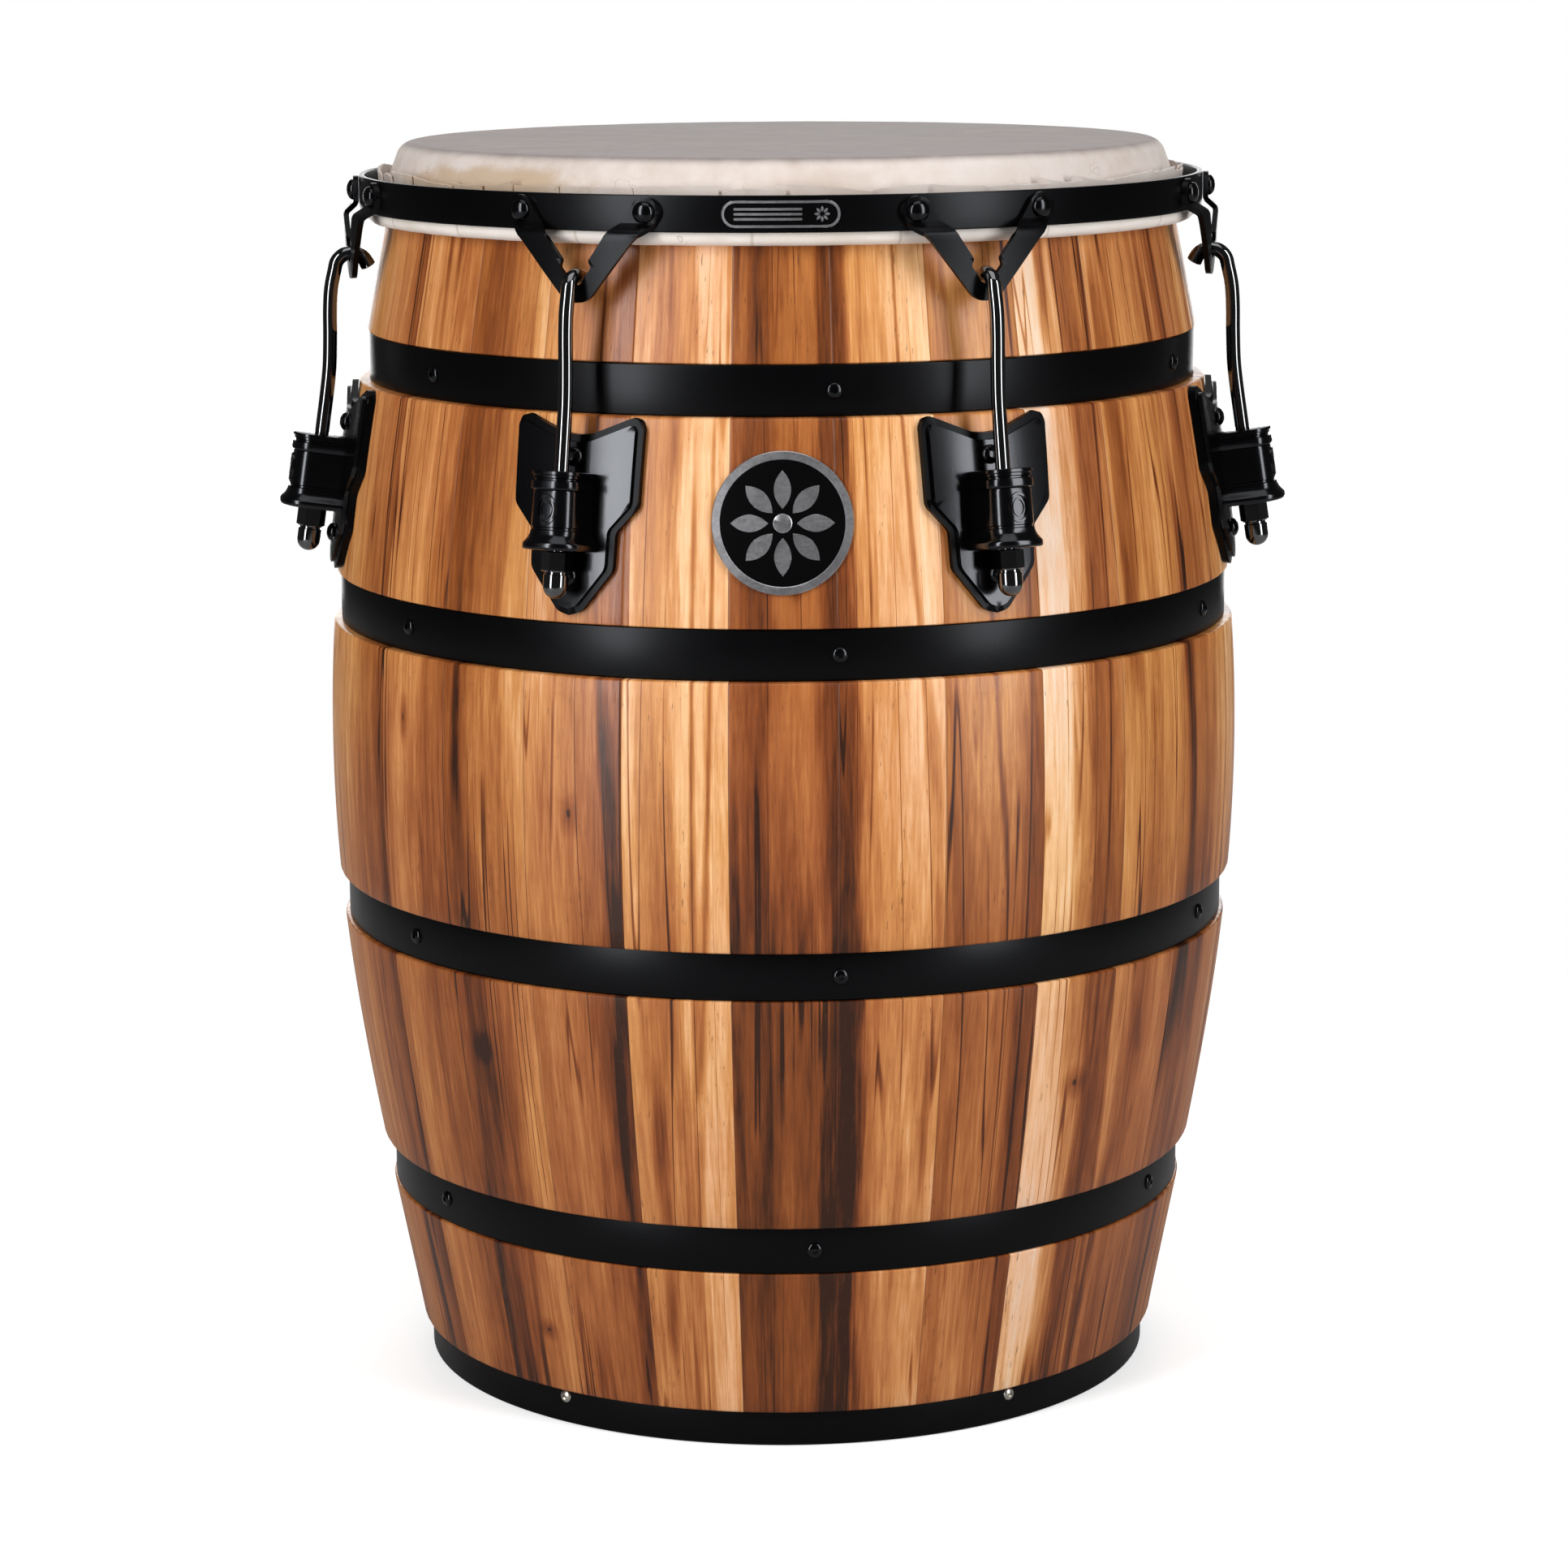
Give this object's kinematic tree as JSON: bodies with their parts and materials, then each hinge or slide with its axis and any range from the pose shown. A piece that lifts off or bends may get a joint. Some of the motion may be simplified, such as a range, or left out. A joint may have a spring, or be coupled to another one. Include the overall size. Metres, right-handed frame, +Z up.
{
  "type": "barrel hand drum",
  "caption": "Barrel-shaped stave hand drum of the conga family with a natural skin head, steel hoops and hook-rod tuning hardware.",
  "frame": {"origin": "centre of the footprint's bounding box, on the floor; the drum's own axis stands 14.5 mm in front of it (towards -Y), because one of the seven tuning stations is at the back and none is at the front", "axes": "+Z up along the drum's axis, -Y towards the player's side with the badge, +X to the right seen from the front"},
  "size_m": [0.5706, 0.5577, 0.711],
  "materials": {
    "stave_wood": "satin lacquered acacia staves of mixed heartwood and sapwood",
    "natural_skin": "matte rawhide",
    "satin_black_steel": "satin black powder coat",
    "gloss_black_steel": "gloss black plating",
    "black_casting": "semi-gloss black casting",
    "black_rubber": "matte rubber",
    "zinc_steel": "plain steel",
    "badge_metal": "satin grey metal with black enamel"
  },
  "bodies": {
    "shell": {"stave_shell": "stave_wood", "shell_hoop_1": "satin_black_steel", "shell_hoop_2": "satin_black_steel", "shell_hoop_3": "satin_black_steel", "shell_hoop_4": "satin_black_steel", "base_hoop": "satin_black_steel", "shell_badge": "badge_metal", "lug_casing_1": "black_casting", "lug_gasket_1": "black_rubber", "lug_bolt_upper_1": "gloss_black_steel", "lug_bolt_lower_1": "gloss_black_steel", "lug_casing_2": "black_casting", "lug_gasket_2": "black_rubber", "lug_bolt_upper_2": "gloss_black_steel", "lug_bolt_lower_2": "gloss_black_steel", "lug_casing_3": "black_casting", "lug_gasket_3": "black_rubber", "lug_bolt_upper_3": "gloss_black_steel", "lug_bolt_lower_3": "gloss_black_steel", "lug_casing_4": "black_casting", "lug_gasket_4": "black_rubber", "lug_bolt_upper_4": "gloss_black_steel", "lug_bolt_lower_4": "gloss_black_steel", "lug_casing_5": "black_casting", "lug_gasket_5": "black_rubber", "lug_bolt_upper_5": "gloss_black_steel", "lug_bolt_lower_5": "gloss_black_steel", "lug_casing_6": "black_casting", "lug_gasket_6": "black_rubber", "lug_bolt_upper_6": "gloss_black_steel", "lug_bolt_lower_6": "gloss_black_steel", "lug_casing_7": "black_casting", "lug_gasket_7": "black_rubber", "lug_bolt_upper_7": "gloss_black_steel", "lug_bolt_lower_7": "gloss_black_steel"},
    "rim": {"tuning_rim": "satin_black_steel", "rim_plate": "badge_metal", "rim_bracket_1": "satin_black_steel", "rim_bracket_2": "satin_black_steel", "rim_bracket_3": "satin_black_steel", "rim_bracket_4": "satin_black_steel", "rim_bracket_5": "satin_black_steel", "rim_bracket_6": "satin_black_steel", "rim_bracket_7": "satin_black_steel"},
    "head": {"drum_skin": "natural_skin", "flesh_hoop": "zinc_steel"},
    "rod_1": {"hook_rod_1": "gloss_black_steel"},
    "nut_1": {"tuning_nut_1": "gloss_black_steel"},
    "rod_2": {"hook_rod_2": "gloss_black_steel"},
    "nut_2": {"tuning_nut_2": "gloss_black_steel"},
    "rod_3": {"hook_rod_3": "gloss_black_steel"},
    "nut_3": {"tuning_nut_3": "gloss_black_steel"},
    "rod_4": {"hook_rod_4": "gloss_black_steel"},
    "nut_4": {"tuning_nut_4": "gloss_black_steel"},
    "rod_5": {"hook_rod_5": "gloss_black_steel"},
    "nut_5": {"tuning_nut_5": "gloss_black_steel"},
    "rod_6": {"hook_rod_6": "gloss_black_steel"},
    "nut_6": {"tuning_nut_6": "gloss_black_steel"},
    "rod_7": {"hook_rod_7": "gloss_black_steel"},
    "nut_7": {"tuning_nut_7": "gloss_black_steel"}
  },
  "joints": [
    {"name": "rim_travel", "type": "slide", "parent": "shell", "child": "rim", "axis": [0, 0, 1], "range_m": [0, 0.012]},
    {"name": "head_travel", "type": "slide", "parent": "shell", "child": "head", "axis": [0, 0, 1], "range_m": [0, 0.0121]},
    {"name": "rod_1_travel", "type": "slide", "parent": "shell", "child": "rod_1", "axis": [0.0649, 0.1347, 0.9888], "range_m": [0, 0.0123]},
    {"name": "nut_1_turn", "type": "hinge", "parent": "shell", "child": "nut_1", "pos_m": [-0.11606, -0.25547, 0.5495], "axis": [-0.0649, -0.1347, -0.9888], "range_deg": [0, 3510]},
    {"name": "rod_2_travel", "type": "slide", "parent": "shell", "child": "rod_2", "axis": [-0.0649, 0.1347, 0.9888], "range_m": [0, 0.0123]},
    {"name": "nut_2_turn", "type": "hinge", "parent": "shell", "child": "nut_2", "pos_m": [0.11606, -0.25547, 0.5495], "axis": [0.0649, -0.1347, -0.9888], "range_deg": [0, 3510]},
    {"name": "rod_3_travel", "type": "slide", "parent": "shell", "child": "rod_3", "axis": [0.1458, 0.0333, 0.9888], "range_m": [0, 0.0123]},
    {"name": "nut_3_turn", "type": "hinge", "parent": "shell", "child": "nut_3", "pos_m": [-0.26079, -0.07398, 0.5495], "axis": [-0.1458, -0.0333, -0.9888], "range_deg": [0, 3510]},
    {"name": "rod_4_travel", "type": "slide", "parent": "shell", "child": "rod_4", "axis": [-0.1458, 0.0333, 0.9888], "range_m": [0, 0.0123]},
    {"name": "nut_4_turn", "type": "hinge", "parent": "shell", "child": "nut_4", "pos_m": [0.26079, -0.07398, 0.5495], "axis": [0.1458, -0.0333, -0.9888], "range_deg": [0, 3510]},
    {"name": "rod_5_travel", "type": "slide", "parent": "shell", "child": "rod_5", "axis": [0.1169, -0.0932, 0.9888], "range_m": [0, 0.0123]},
    {"name": "nut_5_turn", "type": "hinge", "parent": "shell", "child": "nut_5", "pos_m": [-0.20914, 0.15232, 0.5495], "axis": [-0.1169, 0.0932, -0.9888], "range_deg": [0, 3510]},
    {"name": "rod_6_travel", "type": "slide", "parent": "shell", "child": "rod_6", "axis": [-0.1169, -0.0932, 0.9888], "range_m": [0, 0.0123]},
    {"name": "nut_6_turn", "type": "hinge", "parent": "shell", "child": "nut_6", "pos_m": [0.20914, 0.15232, 0.5495], "axis": [0.1169, 0.0932, -0.9888], "range_deg": [0, 3510]},
    {"name": "rod_7_travel", "type": "slide", "parent": "shell", "child": "rod_7", "axis": [0, -0.1495, 0.9888], "range_m": [0, 0.0123]},
    {"name": "nut_7_turn", "type": "hinge", "parent": "shell", "child": "nut_7", "pos_m": [0, 0.25304, 0.5495], "axis": [0, 0.1495, -0.9888], "range_deg": [0, 3510]}
  ],
  "couplings": [
    {"joint": "head_travel", "follows": "rim_travel", "ratio": 1},
    {"joint": "rod_1_travel", "follows": "rim_travel", "ratio": 1.0114},
    {"joint": "nut_1_turn", "follows": "rim_travel", "rad_per_m": 5083.7},
    {"joint": "rod_2_travel", "follows": "rim_travel", "ratio": 1.0114},
    {"joint": "nut_2_turn", "follows": "rim_travel", "rad_per_m": 5083.7},
    {"joint": "rod_3_travel", "follows": "rim_travel", "ratio": 1.0114},
    {"joint": "nut_3_turn", "follows": "rim_travel", "rad_per_m": 5083.7},
    {"joint": "rod_4_travel", "follows": "rim_travel", "ratio": 1.0114},
    {"joint": "nut_4_turn", "follows": "rim_travel", "rad_per_m": 5083.7},
    {"joint": "rod_5_travel", "follows": "rim_travel", "ratio": 1.0114},
    {"joint": "nut_5_turn", "follows": "rim_travel", "rad_per_m": 5083.7},
    {"joint": "rod_6_travel", "follows": "rim_travel", "ratio": 1.0114},
    {"joint": "nut_6_turn", "follows": "rim_travel", "rad_per_m": 5083.7},
    {"joint": "rod_7_travel", "follows": "rim_travel", "ratio": 1.0114},
    {"joint": "nut_7_turn", "follows": "rim_travel", "rad_per_m": 5083.7}
  ]
}
